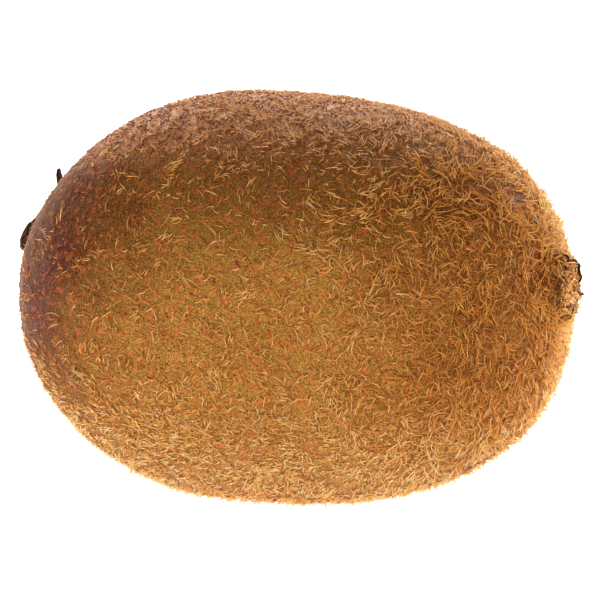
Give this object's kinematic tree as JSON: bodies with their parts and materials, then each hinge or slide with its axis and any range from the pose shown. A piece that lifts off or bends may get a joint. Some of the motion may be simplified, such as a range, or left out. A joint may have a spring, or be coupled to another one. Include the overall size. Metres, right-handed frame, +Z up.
{
  "type": "kiwi fruit",
  "caption": "Whole fuzzy brown kiwi fruit lying on its side, an oval fruit with dried sepals round its stalk scar and dried styles on its blossom-end nub.",
  "frame": {"origin": "middle of the base of the whole fruit's box, on the surface that it rests on", "axes": "+X from the stalk end to the blossom end, +Z up with the fruit lying on its side, +Y to its left seen from the stalk end"},
  "size_m": [0.0676, 0.0502, 0.0463],
  "materials": {
    "skin": "matt, slightly waxy, thin olive-brown fruit skin with rusty specks",
    "fuzz": "short stiff golden-brown hairs",
    "sepal": "dry, dark brown, papery",
    "style": "dry, near black, woody threads"
  },
  "bodies": {
    "root": {"fruit": "skin", "sepal_1": "sepal", "sepal_2": "sepal", "sepal_3": "sepal", "sepal_4": "sepal", "sepal_5": "sepal", "style_1": "style", "style_2": "style", "style_3": "style", "style_4": "style", "style_5": "style", "style_6": "style", "style_7": "style", "style_8": "style"}
  },
  "joints": []
}
